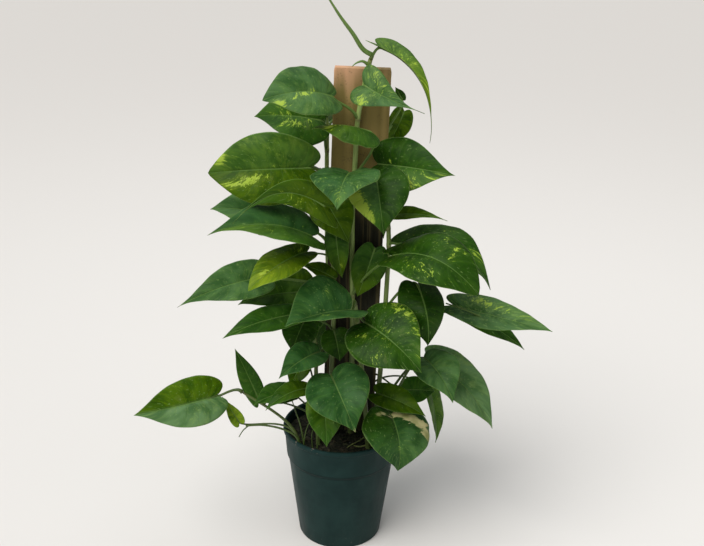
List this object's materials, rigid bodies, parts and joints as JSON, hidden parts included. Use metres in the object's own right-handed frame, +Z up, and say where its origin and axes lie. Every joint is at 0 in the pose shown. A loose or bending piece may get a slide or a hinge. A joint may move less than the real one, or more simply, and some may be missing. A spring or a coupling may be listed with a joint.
{
  "type": "potted variegated pothos on a plank",
  "caption": "Climbing pothos with heart-shaped variegated leaves, trained up a rough upright plank, growing in potting mix in a round dark plastic nursery pot.",
  "frame": {"origin": "centre of the pot's flat underside, on the floor", "axes": "+Z up along the pot's axis and the board, -Y towards the plant's front, +X to the right seen from the front"},
  "size_m": [0.5131, 0.2688, 0.7284],
  "materials": {
    "pot_plastic": "dark teal green moulded plastic with a soft sheen",
    "potting_mix": "dark crumbly bark and peat mix, moist",
    "rough_timber": "rough-sawn grey-brown board, unfinished",
    "foliage": "satin green leaf, splashed and streaked with yellow-green and cream"
  },
  "bodies": {
    "root": {"pot": "pot_plastic", "soil": "potting_mix", "board": "rough_timber", "vine_middle": "foliage", "vine_left": "foliage", "vine_right": "foliage", "vine_front": "foliage", "vine_front_right": "foliage", "vine_low_left": "foliage", "runner_left": "foliage", "vine_back_left": "foliage", "vine_back_right": "foliage"}
  },
  "joints": []
}
